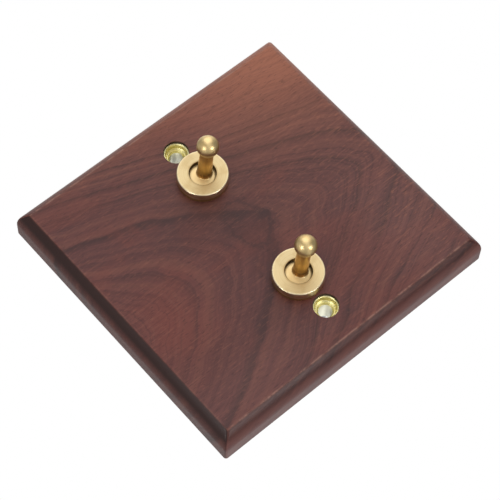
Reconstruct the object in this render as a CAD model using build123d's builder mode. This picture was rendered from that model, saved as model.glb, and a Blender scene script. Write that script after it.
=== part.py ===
from build123d import *
from math import asin, cos, degrees, radians, sin
import os

# Two-gang toggle light switch on a moulded wooden wall plate
# X runs across the plate, Z runs up it and Y runs into the wall, so the front looks along -Y.
# The origin is midway between the two fixing holes on the wall plane, where the plate's back rests.
# A height is measured outwards from that plane: a point at height h has Y = -h. Lengths in mm.

# Wall plate
plate_width = 86.0
plate_height = 90.0
plate_thickness = 10.0
edge_radius = 6.8  # radius of the moulded edge
edge_depth = 5.3  # how far the moulding runs down from the face
corner_radius = 0.8  # softened upright corners
back_arris = 0.4  # sanded edge round the back
toggle_spacing = 38.4
pocket_depth = 5.0  # rear recess that takes one switch body
pocket_gap = 0.3  # room all round a switch body
pocket_corner = 0.8

# Screw ferrules in the two fixing holes
fixing_spacing = 60.3
ferrule_sink = 0.9  # the rim lies this far below the face
ferrule_head_radius = 3.4
ferrule_head_length = 3.2
ferrule_shank_radius = 2.6
ferrule_gap = 0.05
screw_clear_radius = 1.9  # through bore for the fixing screw
seat_radius = 2.95  # bowl that takes the screw head
seat_depth = 1.7
seat_flare = 0.9  # depth of the cone that joins the bowl to the bore
rim_chamfer = 0.2

# Dress nut
nut_radius = 7.0
nut_height = 3.3
nut_edge_round = 0.35
nut_opening_radius = 3.7
nut_lip = 0.7  # thickness of the lip over the bushing
nut_lip_gap = 0.1  # the bushing stops this far below the lip
nut_mouth_chamfer = 0.15

# Bushing
bushing_radius = 6.0
bushing_hole_gap = 0.15
mouth_radius = 5.3  # cup in which the lever's dome swings
mouth_depth = 2.4
mouth_cone = 0.9  # depth of the cone below the cup
spigot_radius = 4.2  # neck staked into the cover
stake_radius = 4.7
stake_height = 0.8

# Lever
pivot_depth = 4.0  # pivot below the plate's face
lever_tilt = 5.0  # degrees from square at either end of the throw
lever_reach = 19.0  # pivot to ball centre
ball_radius = 3.0
stem_tip_radius = 1.8
stem_root_radius = 2.05
stem_root_fillet = 0.35
dome_radius = 14.0  # shallow shutter that closes the nut's opening
dome_rim_radius = 4.6
dome_rim_reach = 5.95  # pivot to the shutter's rim
dome_rim_edge = 0.7
neck_radius = 2.6
fulcrum_radius = 3.3
fulcrum_gap = 0.2
tail_radius = 2.2
tail_length = 7.5
tail_bore_radius = 1.3
tail_bore_depth = 5.0

# Pivot pin
pin_radius = 0.75
pin_length = 11.6
pin_running_gap = 0.04
pin_chamfer = 0.15

# Spring and plunger in the lever's tail
plunger_gap = 0.1
plunger_shank_length = 2.1
plunger_shoulder_gap = 0.3
plunger_head_radius = 1.7
plunger_nose_taper = 0.85
plunger_nose_radius = 1.0
plunger_rocker_gap = 0.05  # nose to rocker at mid-throw
spring_wire_radius = 0.15
spring_coil_radius = 0.95
spring_turns = 3
spring_seat_gap = 0.03

# Steel cover
sheet = 0.8
skirt_depth = 6.5
tab_width = 2.4
tab_place = 4.7  # tab centre from the middle of the body
tab_fold = 1.3
cover_corner = 0.5

# Moulded case
case_width = 11.0
case_length = 27.0
case_back_depth = 12.0  # rear face behind the wall plane
case_floor = 2.8
case_corner = 0.5
cavity_width = 6.6
cavity_length = 17.6
stake_recess_gap = 0.2
screw_pocket_gap = 0.15
screw_pocket_depth = 2.2
rib_length = 7.4  # ribs that keep the terminals' wires apart
rib_thickness = 1.0
rib_height = 2.0
rib_edge = 0.3

# Rocking contact
rocker_thickness = 0.8
rocker_width = 4.4
rocker_length = 15.2
rocker_end_round = 1.2
trunnion_radius = 0.5
trunnion_gap = 0.05
contact_place = 6.6  # contact centres from the rocker axis
moving_contact_radius = 1.0
moving_contact_height = 0.5
moving_contact_chamfer = 0.2

# Terminals
terminal_sheet = 0.8
terminal_width = 5.8
common_pad_length = 6.0
ear_thickness = 0.6
ear_inset = 0.2  # ears to cavity wall
ear_length = 3.2
ear_rise = 0.3  # ears above the rocker axis
outer_pad_start = 6.4
outer_pad_length = 6.2
outer_screw_place = 9.8
leg_width = 3.6
inner_pad_start = 5.4
inner_pad_length = 3.0
fixed_contact_radius = 1.2
fixed_contact_height = 0.65
contact_gap = 0.15  # closed contacts, centre to centre

# Terminal screws
screw_thread_radius = 1.5
screw_length = 2.6
screw_head_radius = 2.6
screw_head_height = 1.6
screw_head_chamfer = 0.3
screw_slot_width = 0.6
screw_slot_depth = 0.7

# Places and sizes that follow from the values above
toggle_x = toggle_spacing / 2
fixing_x = fixing_spacing / 2
pivot_height = plate_thickness - pivot_depth
bushing_top = plate_thickness + nut_height - nut_lip - nut_lip_gap
throat_radius = fulcrum_radius + fulcrum_gap
body_width = case_width + 2 * sheet
cover_underside = pocket_depth - sheet
case_height = cover_underside + case_back_depth
cavity_floor = case_floor - case_back_depth
pad_underside = -case_back_depth - terminal_sheet
rocker_tilt = lever_tilt
inner_pad_top = cavity_floor + terminal_sheet
moving_contact_drop = rocker_thickness / 2 + moving_contact_height
rocker_height = (
    inner_pad_top
    + fixed_contact_height
    + contact_gap
    + moving_contact_drop * cos(radians(rocker_tilt))
    + contact_place * sin(radians(rocker_tilt))
)
plunger_nose_reach = pivot_height - rocker_height - rocker_thickness / 2 - plunger_rocker_gap

os.makedirs("parts", exist_ok=True)


def keep(piece, name):
    """Name a finished piece and write it to the parts folder."""
    piece.part.label = name
    export_step(piece.part, f"parts/{name}.step")


def section(x):
    """Plane through a turned piece's axis: local x is across it, local y is the height."""
    return Plane(origin=(x, 0, 0), x_dir=(1, 0, 0), z_dir=(0, 0, -1))


def outward(x):
    """Axis that leaves the wall at the given place along the plate."""
    return Axis((x, 0, 0), (0, -1, 0))


def lever_direction(tilt):
    """Direction from a pivot towards the room, tilted up by a number of degrees."""
    return Vector(0, -cos(radians(tilt)), sin(radians(tilt)))


def lever_section(x):
    """Plane through the tilted lever's axis, with its origin on the pivot."""
    across = Vector(1, 0, 0)
    normal = across.cross(lever_direction(lever_tilt))
    return Plane(origin=(x, -pivot_height, 0), x_dir=across, z_dir=normal)


def lever_axis(x):
    """The tilted lever's own axis."""
    return Axis((x, -pivot_height, 0), lever_direction(lever_tilt))


def across_plane(x, height):
    """Plane square to X at a height, for pins and trunnions."""
    return Plane(origin=(x, -height, 0), x_dir=(0, 0, 1), z_dir=(1, 0, 0))


def moulded_edge(span):
    """Half outline of the plate's section, from the back to the middle of the face."""
    half = span / 2
    Polyline((0, 0), (half - back_arris, 0), (half, back_arris), (half, plate_thickness - edge_depth))
    edge = JernArc(
        start=(half, plate_thickness - edge_depth),
        tangent=(0, 1),
        radius=edge_radius,
        arc_size=degrees(asin(edge_depth / edge_radius)),
    )
    Line(edge @ 1, (0, plate_thickness))


# Wall plate: the two moulded sections cross, so the mouldings mitre at the corners
with BuildPart() as wall_plate:
    with BuildSketch(section(0)):
        with BuildLine():
            moulded_edge(plate_width)
            mirror(about=Plane.YZ)
        make_face()
    extrude(amount=plate_height / 2, both=True)
    with BuildSketch(across_plane(0, 0)):
        with BuildLine():
            moulded_edge(plate_height)
            mirror(about=Plane.YZ)
        make_face()
    extrude(amount=plate_width / 2, both=True, mode=Mode.INTERSECT)
    corners = [edge for edge in wall_plate.edges() if edge.bounding_box().size.Y > 2 * back_arris]
    fillet(corners, radius=corner_radius)
    with BuildSketch(Plane.XZ):
        with Locations((-toggle_x, 0), (toggle_x, 0)):
            Circle(bushing_radius + bushing_hole_gap)
    extrude(amount=plate_thickness, mode=Mode.SUBTRACT)
    with BuildSketch(Plane.XZ):
        with Locations((-toggle_x, 0), (toggle_x, 0)):
            RectangleRounded(body_width + 2 * pocket_gap, case_length + 2 * pocket_gap, pocket_corner)
    extrude(amount=pocket_depth, mode=Mode.SUBTRACT)
    with Locations(Plane.XZ.offset(plate_thickness)):
        with Locations((-fixing_x, 0), (fixing_x, 0)):
            CounterBoreHole(
                radius=ferrule_shank_radius + ferrule_gap,
                counter_bore_radius=ferrule_head_radius + ferrule_gap,
                counter_bore_depth=ferrule_sink + ferrule_head_length,
            )
keep(wall_plate, "wall_plate")


def make_ferrule(side, x):
    """Stepped brass sleeve that lines a fixing hole and seats the screw head."""
    rim = plate_thickness - ferrule_sink
    shoulder = rim - ferrule_head_length
    with BuildPart() as ferrule:
        with BuildSketch(section(x)):
            with BuildLine():
                Polyline(
                    (screw_clear_radius, 0),
                    (ferrule_shank_radius, 0),
                    (ferrule_shank_radius, shoulder),
                    (ferrule_head_radius, shoulder),
                    (ferrule_head_radius, rim),
                    (seat_radius + rim_chamfer, rim),
                    (seat_radius, rim - rim_chamfer),
                    (seat_radius, rim - seat_depth),
                    (screw_clear_radius, rim - seat_depth - seat_flare),
                    close=True,
                )
            make_face()
        revolve(axis=outward(x))
    keep(ferrule, f"ferrule_{side}")


def make_dress_nut(side, x):
    """Round brass nut that clamps the plate, with a lip over the bushing's mouth."""
    top = plate_thickness + nut_height
    with BuildPart() as dress_nut:
        with BuildSketch(section(x)):
            with BuildLine():
                Polyline(
                    (bushing_radius, plate_thickness),
                    (nut_radius, plate_thickness),
                    (nut_radius, top),
                    (nut_opening_radius, top),
                    (nut_opening_radius, top - nut_lip),
                    (bushing_radius, top - nut_lip),
                    close=True,
                )
            make_face()
        revolve(axis=outward(x))
        rims = dress_nut.edges().filter_by(GeomType.CIRCLE)
        top_rims = rims.group_by(Axis.Y)[0].sort_by(SortBy.RADIUS)
        fillet(top_rims[-1], radius=nut_edge_round)
        chamfer(top_rims[0], length=nut_mouth_chamfer)
    keep(dress_nut, f"dress_nut_{side}")


def make_bushing(side, x):
    """Threaded brass barrel with a cup for the lever's dome, staked into the cover."""
    stake_base = cover_underside - stake_height
    cup_floor = bushing_top - mouth_depth
    with BuildPart() as bushing:
        with BuildSketch(section(x)):
            with BuildLine():
                Polyline(
                    (throat_radius, stake_base),
                    (stake_radius, stake_base),
                    (stake_radius, cover_underside),
                    (spigot_radius, cover_underside),
                    (spigot_radius, pocket_depth),
                    (bushing_radius, pocket_depth),
                    (bushing_radius, bushing_top),
                    (mouth_radius, bushing_top),
                    (mouth_radius, cup_floor),
                    (throat_radius, cup_floor - mouth_cone),
                    close=True,
                )
            make_face()
        revolve(axis=outward(x))
        with BuildSketch(across_plane(x, pivot_height)):
            Circle(pin_radius)
        extrude(amount=bushing_radius, both=True, mode=Mode.SUBTRACT)
    keep(bushing, f"bushing_{side}")


def make_lever(side, x):
    """One turned lever: ball, tapered stem, dome, fulcrum ball and hollow tail."""
    dome_floor = dome_rim_reach - dome_rim_edge
    dome_centre = dome_rim_reach - (dome_radius**2 - dome_rim_radius**2) ** 0.5
    dome_top = dome_centre + (dome_radius**2 - stem_root_radius**2) ** 0.5
    ball_neck = lever_reach - (ball_radius**2 - stem_tip_radius**2) ** 0.5
    neck_base = (fulcrum_radius**2 - neck_radius**2) ** 0.5
    tail_top = (fulcrum_radius**2 - tail_radius**2) ** 0.5
    with BuildPart() as lever:
        with BuildSketch(lever_section(x)):
            with BuildLine():
                Line((0, -tail_length), (tail_radius, -tail_length))
                Line((tail_radius, -tail_length), (tail_radius, -tail_top))
                ThreePointArc((tail_radius, -tail_top), (fulcrum_radius, 0), (neck_radius, neck_base))
                Line((neck_radius, neck_base), (neck_radius, dome_floor))
                Line((neck_radius, dome_floor), (dome_rim_radius, dome_floor))
                Line((dome_rim_radius, dome_floor), (dome_rim_radius, dome_rim_reach))
                RadiusArc((dome_rim_radius, dome_rim_reach), (stem_root_radius, dome_top), -dome_radius)
                Line((stem_root_radius, dome_top), (stem_tip_radius, ball_neck))
                ThreePointArc(
                    (stem_tip_radius, ball_neck),
                    (ball_radius, lever_reach),
                    (0, lever_reach + ball_radius),
                )
                Line((0, lever_reach + ball_radius), (0, -tail_length))
            make_face()
        revolve(axis=lever_axis(x))
        root = lever.edges().filter_by(GeomType.CIRCLE).sort_by_distance(
            Vector(x, -pivot_height, 0) + lever_direction(lever_tilt) * dome_top
        )[0]
        fillet(root, radius=stem_root_fillet)
        with BuildSketch(across_plane(x, pivot_height)):
            Circle(pin_radius + pin_running_gap)
        extrude(amount=fulcrum_radius, both=True, mode=Mode.SUBTRACT)
        tail_end = Plane(
            origin=Vector(x, -pivot_height, 0) - lever_direction(lever_tilt) * tail_length,
            x_dir=(1, 0, 0),
            z_dir=lever_direction(lever_tilt),
        )
        with BuildSketch(tail_end):
            Circle(tail_bore_radius)
        extrude(amount=tail_bore_depth, mode=Mode.SUBTRACT)
    keep(lever, f"lever_{side}")


def make_pivot_pin(side, x):
    """Steel cross pin, fixed in the bushing, on which the lever rocks."""
    with BuildPart() as pivot_pin:
        with BuildSketch(across_plane(x, pivot_height)):
            Circle(pin_radius)
        extrude(amount=pin_length / 2, both=True)
        chamfer(pivot_pin.edges(), length=pin_chamfer)
    keep(pivot_pin, f"pivot_pin_{side}")


def make_plunger(side, x):
    """Plunger that the spring pushes out of the lever's tail on to the rocker."""
    shank_radius = tail_bore_radius - plunger_gap
    shoulder = -tail_length - plunger_shoulder_gap
    shank_top = shoulder + plunger_shank_length
    nose_centre = plunger_nose_radius - plunger_nose_reach
    head_base = nose_centre + plunger_nose_taper
    with BuildPart() as plunger:
        with BuildSketch(lever_section(x)):
            with BuildLine():
                Polyline(
                    (0, -plunger_nose_reach),
                    (0, shank_top),
                    (shank_radius, shank_top),
                    (shank_radius, shoulder),
                    (plunger_head_radius, shoulder),
                    (plunger_head_radius, head_base),
                    (plunger_nose_radius, nose_centre),
                )
                RadiusArc(
                    (plunger_nose_radius, nose_centre), (0, -plunger_nose_reach), plunger_nose_radius
                )
            make_face()
        revolve(axis=lever_axis(x))
    keep(plunger, f"plunger_{side}")


def make_spring(side, x):
    """Coil spring between the end of the tail's bore and the plunger."""
    shank_top = -tail_length - plunger_shoulder_gap + plunger_shank_length
    low = shank_top + spring_wire_radius + spring_seat_gap
    high = tail_bore_depth - tail_length - spring_wire_radius - spring_seat_gap
    direction = lever_direction(lever_tilt)
    with BuildPart() as spring:
        with BuildLine() as coil:
            Helix(
                pitch=(high - low) / spring_turns,
                height=high - low,
                radius=spring_coil_radius,
                center=Vector(x, -pivot_height, 0) + direction * low,
                direction=direction,
            )
        with BuildSketch(Plane(origin=coil.line @ 0, z_dir=coil.line % 0)):
            Circle(spring_wire_radius)
        sweep(path=coil.line, is_frenet=True)
    keep(spring, f"spring_{side}")


def make_cover(side, x):
    """Folded steel cover over the case, with four tabs bent under its back."""
    with BuildPart() as cover:
        with BuildSketch(Plane.XZ.offset(pocket_depth)):
            with Locations((x, 0)):
                RectangleRounded(body_width, case_length, cover_corner)
        extrude(amount=-skirt_depth)
        with BuildSketch(Plane.XZ.offset(cover_underside)):
            with Locations((x, 0)):
                Rectangle(case_width, case_length)
        extrude(amount=-skirt_depth, mode=Mode.SUBTRACT)
        with BuildSketch(Plane.XZ.offset(pocket_depth)):
            with Locations((x, 0)):
                Circle(spigot_radius)
        extrude(amount=-sheet, mode=Mode.SUBTRACT)
        for end in (-tab_place, tab_place):
            for hand in (-1, 1):
                with BuildSketch(Plane.XZ.offset(pocket_depth - skirt_depth)):
                    with Locations((x + hand * (case_width + sheet) / 2, end)):
                        Rectangle(sheet, tab_width)
                extrude(amount=pad_underside - pocket_depth + skirt_depth)
                with BuildSketch(Plane.XZ.offset(-case_back_depth)):
                    with Locations((x + hand * (case_width - tab_fold) / 2, end)):
                        Rectangle(tab_fold, tab_width)
                extrude(amount=-sheet)
    keep(cover, f"cover_{side}")


def make_case(side, x):
    """Moulded case, open under the cover, with slots for the three terminals."""
    with BuildPart() as case:
        with BuildSketch(Plane.XZ.offset(cover_underside)):
            with Locations((x, 0)):
                Rectangle(case_width, case_length)
        extrude(amount=-case_height)
        fillet(case.faces().sort_by(Axis.Y)[-1].edges(), radius=case_corner)
        with BuildSketch(Plane.XZ.offset(cover_underside)):
            with Locations((x, 0)):
                Rectangle(cavity_width, cavity_length)
        extrude(amount=case_floor - case_height, mode=Mode.SUBTRACT)
        with BuildSketch(Plane.XZ.offset(cover_underside)):
            with Locations((x, 0)):
                Circle(stake_radius + stake_recess_gap)
        extrude(amount=-stake_height - stake_recess_gap, mode=Mode.SUBTRACT)
        with BuildSketch(Plane.XZ.offset(-case_back_depth)):
            for end in (-1, 1):
                with Locations((x, end * (outer_pad_start + terminal_sheet / 2))):
                    Rectangle(leg_width, terminal_sheet)
                with Locations((x + end * (cavity_width - ear_thickness - 2 * ear_inset) / 2, 0)):
                    Rectangle(ear_thickness, ear_length)
        extrude(amount=case_floor, mode=Mode.SUBTRACT)
        with BuildSketch(Plane.XZ.offset(-case_back_depth)):
            with Locations((x, -outer_screw_place), (x, 0), (x, outer_screw_place)):
                Circle(screw_thread_radius + screw_pocket_gap)
        extrude(amount=screw_pocket_depth, mode=Mode.SUBTRACT)
        with BuildSketch(Plane.XZ.offset(-case_back_depth)):
            with Locations((x, -tab_place), (x, tab_place)):
                Rectangle(rib_length, rib_thickness)
        extrude(amount=-rib_height)
        chamfer(case.faces().sort_by(Axis.Y)[-2:].edges(), length=rib_edge)
    keep(case, f"case_{side}")


def make_rocker(side, x):
    """See-saw contact with trunnions and two contact buttons, tipped to its lower end."""
    along = Plane(origin=(x, -rocker_height, 0), x_dir=(1, 0, 0), z_dir=lever_direction(-rocker_tilt))
    with BuildPart() as rocker:
        with BuildSketch(along.offset(-rocker_thickness / 2)):
            RectangleRounded(rocker_width, rocker_length, rocker_end_round)
        extrude(amount=rocker_thickness)
        with BuildSketch(along.offset(-rocker_thickness / 2)):
            with Locations((0, -contact_place), (0, contact_place)):
                Circle(moving_contact_radius)
        extrude(amount=-moving_contact_height)
        button_rims = rocker.edges().group_by(Axis(along.origin, along.z_dir))[0]
        chamfer(button_rims, length=moving_contact_chamfer)
        with BuildSketch(across_plane(x, rocker_height)):
            Circle(trunnion_radius)
        extrude(amount=cavity_width / 2 - ear_inset, both=True)
    keep(rocker, f"rocker_{side}")


def make_common_terminal(side, x):
    """Middle terminal: a pad behind the case with two ears that carry the rocker."""
    ear_outer = cavity_width / 2 - ear_inset
    with BuildPart() as common_terminal:
        with BuildSketch(Plane.XZ.offset(pad_underside)):
            with Locations((x, 0)):
                Rectangle(2 * ear_outer, common_pad_length)
                Circle(screw_thread_radius, mode=Mode.SUBTRACT)
        extrude(amount=terminal_sheet)
        with BuildSketch(Plane.XZ.offset(-case_back_depth)):
            for hand in (-1, 1):
                with Locations((x + hand * (ear_outer - ear_thickness / 2), 0)):
                    Rectangle(ear_thickness, ear_length)
        extrude(amount=case_back_depth + rocker_height + ear_rise)
        notch_radius = trunnion_radius + trunnion_gap
        with BuildSketch(across_plane(x, rocker_height)):
            Circle(notch_radius)
            with Locations((0, ear_rise)):
                Rectangle(2 * notch_radius, 2 * ear_rise)
        extrude(amount=ear_outer, both=True, mode=Mode.SUBTRACT)
    keep(common_terminal, f"common_terminal_{side}")


def make_outer_terminal(name, x, end):
    """Upper or lower terminal: outside pad, leg through the floor, inside pad and contact."""
    pad_middle = end * (outer_pad_start + outer_pad_length / 2)
    leg_middle = end * (outer_pad_start + terminal_sheet / 2)
    inner_middle = end * (inner_pad_start + inner_pad_length / 2)
    with BuildPart() as terminal:
        with BuildSketch(Plane.XZ.offset(pad_underside)):
            with Locations((x, pad_middle)):
                Rectangle(terminal_width, outer_pad_length)
            with Locations((x, end * outer_screw_place)):
                Circle(screw_thread_radius, mode=Mode.SUBTRACT)
        extrude(amount=terminal_sheet)
        with BuildSketch(Plane.XZ.offset(-case_back_depth)):
            with Locations((x, leg_middle)):
                Rectangle(leg_width, terminal_sheet)
        extrude(amount=case_floor)
        with BuildSketch(Plane.XZ.offset(cavity_floor)):
            with Locations((x, inner_middle)):
                Rectangle(leg_width, inner_pad_length)
        extrude(amount=terminal_sheet)
        with BuildSketch(Plane.XZ.offset(inner_pad_top)):
            with Locations((x, end * contact_place)):
                Circle(fixed_contact_radius)
        extrude(amount=fixed_contact_height)
    keep(terminal, name)


def make_terminal_screws(side, x):
    """Three slotted screws that clamp the wires to the terminal pads."""
    head_top = pad_underside - screw_head_height
    with BuildPart() as terminal_screws:
        with BuildSketch(Plane.XZ.offset(pad_underside)):
            with Locations((x, -outer_screw_place), (x, 0), (x, outer_screw_place)):
                Circle(screw_head_radius)
        extrude(amount=-screw_head_height)
        chamfer(terminal_screws.edges().group_by(Axis.Y)[-1], length=screw_head_chamfer)
        with BuildSketch(Plane.XZ.offset(pad_underside)):
            with Locations((x, -outer_screw_place), (x, 0), (x, outer_screw_place)):
                Circle(screw_thread_radius)
        extrude(amount=screw_length)
        with BuildSketch(Plane.XZ.offset(head_top)):
            with Locations((x, -outer_screw_place), (x, 0), (x, outer_screw_place)):
                Rectangle(2 * screw_head_radius, screw_slot_width)
        extrude(amount=screw_slot_depth, mode=Mode.SUBTRACT)
    keep(terminal_screws, f"terminal_screws_{side}")


for side, hand in (("left", -1), ("right", 1)):
    place = hand * toggle_x
    make_ferrule(side, hand * fixing_x)
    make_dress_nut(side, place)
    make_bushing(side, place)
    make_lever(side, place)
    make_pivot_pin(side, place)
    make_plunger(side, place)
    make_spring(side, place)
    make_cover(side, place)
    make_case(side, place)
    make_rocker(side, place)
    make_common_terminal(side, place)
    make_outer_terminal(f"upper_terminal_{side}", place, 1)
    make_outer_terminal(f"lower_terminal_{side}", place, -1)
    make_terminal_screws(side, place)
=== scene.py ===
"""Looks for a toggle light switch: two brass levers on a moulded walnut wall plate.

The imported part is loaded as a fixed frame. X runs across the plate, Z up it and Y into the wall, so the
front looks along -Y. A height is measured outwards from the wall plane. Sizes are in millimetres and are
turned into metres where a mesh or a shader takes them.
"""

import logging
import math
from abc import ABC, abstractmethod
from dataclasses import dataclass, field
from enum import Enum

import bmesh
import bpy
from mathutils import Matrix, Vector


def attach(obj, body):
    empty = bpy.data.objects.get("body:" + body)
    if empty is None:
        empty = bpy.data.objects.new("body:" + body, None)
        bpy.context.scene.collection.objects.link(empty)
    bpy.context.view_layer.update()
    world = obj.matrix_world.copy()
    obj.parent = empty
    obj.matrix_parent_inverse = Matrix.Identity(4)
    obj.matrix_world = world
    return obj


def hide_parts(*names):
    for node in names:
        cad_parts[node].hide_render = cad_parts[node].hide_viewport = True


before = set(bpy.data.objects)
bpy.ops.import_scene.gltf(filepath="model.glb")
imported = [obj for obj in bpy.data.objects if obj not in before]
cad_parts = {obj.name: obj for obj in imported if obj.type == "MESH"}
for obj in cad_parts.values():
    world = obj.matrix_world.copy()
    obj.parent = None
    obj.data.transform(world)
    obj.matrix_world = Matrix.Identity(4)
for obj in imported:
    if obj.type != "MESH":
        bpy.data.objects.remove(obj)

LOG = logging.getLogger("toggle_switch")
MM = 0.001
WELD_GAP = 0.0005 * MM
SAME_PLACE = 0.001 * MM
SIDES = {"left": -1, "right": 1}
TOGGLE_X = 19.2
FIXING_X = 30.15

Socket = bpy.types.NodeSocket
Input = Socket | float | tuple
Span = tuple[float, float]


def srgb(red: int, green: int, blue: int) -> tuple[float, float, float, float]:
    """Turn a screen colour into the linear colour that a shader takes.

    Args:
        red: Red from 0 to 255.
        green: Green from 0 to 255.
        blue: Blue from 0 to 255.

    Returns:
        Linear red, green and blue, with an alpha of 1.
    """
    def linear(value: int) -> float:
        """Undo the screen's curve for one channel."""
        share = value / 255
        return share / 12.92 if share <= 0.04045 else ((share + 0.055) / 1.055) ** 2.4

    return (linear(red), linear(green), linear(blue), 1.0)


def place_in_scene(name: str, data: bpy.types.ID) -> bpy.types.Object:
    """Make an object of a mesh, lamp or camera and link it to the scene."""
    made = bpy.data.objects.new(name, data)
    bpy.context.scene.collection.objects.link(made)
    return made


WHITE = srgb(255, 255, 255)


class Shading(Enum):
    """The angle past which a finished mesh keeps an edge sharp."""

    TURNED = math.radians(32)
    BOARD = math.radians(28)


@dataclass(frozen=True)
class Noise:
    """A cloudy pattern between about 0.25 and 0.75.

    Attributes:
        repeats: Repeats per millimetre along X, Y and Z, or a single one for bands along a line.
        detail: Number of finer layers.
        rough: Strength of each finer layer.
        stir: How far the pattern is stirred.
    """

    repeats: tuple
    detail: float
    rough: float = 0.5
    stir: float = 0.0


@dataclass(frozen=True)
class Patch:
    """A soft-edged place on the board's face.

    Attributes:
        across: Its middle along X, in mm.
        along: Its middle along Z, in mm.
        width: Its half width along X, in mm.
        length: Its half length along Z, in mm.
        push: How strongly it changes the wood there, or how far it shifts the growth rings, in mm.
    """

    across: float
    along: float
    width: float
    length: float
    push: float = 1.0


class Nodes:
    """Adds shader nodes to one tree and joins them up."""

    def __init__(self, tree: bpy.types.NodeTree) -> None:
        """Take the tree that gets the nodes."""
        self.tree = tree

    def add(self, kind: str) -> bpy.types.Node:
        """Add one node of a kind, named without its first word, ShaderNode."""
        return self.tree.nodes.new(f"ShaderNode{kind}")

    def feed(self, socket: Socket, value: Input) -> None:
        """Link a socket to another, or set its value.

        Args:
            socket: The input that is fed.
            value: An output socket, a number or a tuple.
        """
        if isinstance(value, Socket):
            self.tree.links.new(value, socket)
        else:
            socket.default_value = value

    def maths(self, operation: str, first: Input, second: Input = 0.0, third: Input = 0.0) -> Socket:
        """One arithmetic step.

        Args:
            operation: The operation's name, such as SQRT or MAXIMUM.
            first: The first value.
            second: The second value.
            third: The third value.

        Returns:
            The result.
        """
        node = self.add("Math")
        node.operation = operation
        for socket, value in zip(node.inputs, (first, second, third)):
            self.feed(socket, value)
        return node.outputs["Value"]

    def times(self, first: Input, second: Input) -> Socket:
        """The first value times the second."""
        return self.maths("MULTIPLY", first, second)

    def less(self, first: Input, second: Input) -> Socket:
        """The first value less the second."""
        return self.maths("SUBTRACT", first, second)

    def line(self, value: Input, slope: Input, start: Input) -> Socket:
        """A value times a slope, plus a start."""
        return self.maths("MULTIPLY_ADD", value, slope, start)

    def slide(self, share: Input, first: Input, second: Input) -> Socket:
        """Go from a first value to a second by a share from 0 to 1."""
        return self.line(share, self.less(second, first), first)

    def hump(self, away: Socket, breadth: float) -> Socket:
        """1 where a value is 0, falling to 0 on both sides within about its breadth."""
        steps = self.times(away, 1 / breadth)
        return self.maths("EXPONENT", self.times(self.times(steps, steps), -1.0))

    def dot(self, first: Socket, second: Input) -> Socket:
        """The dot product of two vectors."""
        node = self.add("VectorMath")
        node.operation = "DOT_PRODUCT"
        self.feed(node.inputs[0], first)
        self.feed(node.inputs[1], second)
        return node.outputs["Value"]

    def between(self, value: Socket, low: float, high: float, top: float = 1.0) -> Socket:
        """A smooth step from 0 at low to its top at high.

        Args:
            value: The value that is stepped.
            low: Where the step starts.
            high: Where the step ends. A high below low turns the step round.
            top: How high it goes.

        Returns:
            A value from 0 to the top.
        """
        node = self.add("MapRange")
        node.interpolation_type = "SMOOTHSTEP"
        turned = high < low
        self.feed(node.inputs["Value"], value)
        node.inputs["From Min"].default_value = min(low, high)
        node.inputs["From Max"].default_value = max(low, high)
        node.inputs["To Min"].default_value = top if turned else 0.0
        node.inputs["To Max"].default_value = 0.0 if turned else top
        return node.outputs["Result"]

    def window(self, value: Socket, low: float, high: float, soft: float) -> Socket:
        """1 from low to high and 0 outside, with each step twice as wide as soft."""
        start = self.between(value, low - soft, low + soft)
        return self.times(start, self.between(value, high + soft, high - soft))

    def mix(self, share: Input, first: Input, second: Input) -> Socket:
        """Mix two colours.

        Args:
            share: How much of the second shows.
            first: A colour or socket.
            second: A colour or socket.

        Returns:
            The mixed colour.
        """
        node = self.add("Mix")
        node.data_type = "RGBA"
        for index, value in {0: share, 6: first, 7: second}.items():
            self.feed(node.inputs[index], value)
        return node.outputs[2]

    def rays(self) -> tuple[Socket, Socket]:
        """Whether the camera looks, straight or through glass, and whether a reflection does."""
        path = self.add("LightPath").outputs
        seen = self.maths("MAXIMUM", path["Is Camera Ray"], path["Is Transmission Ray"])
        return seen, path["Is Glossy Ray"]


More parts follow.
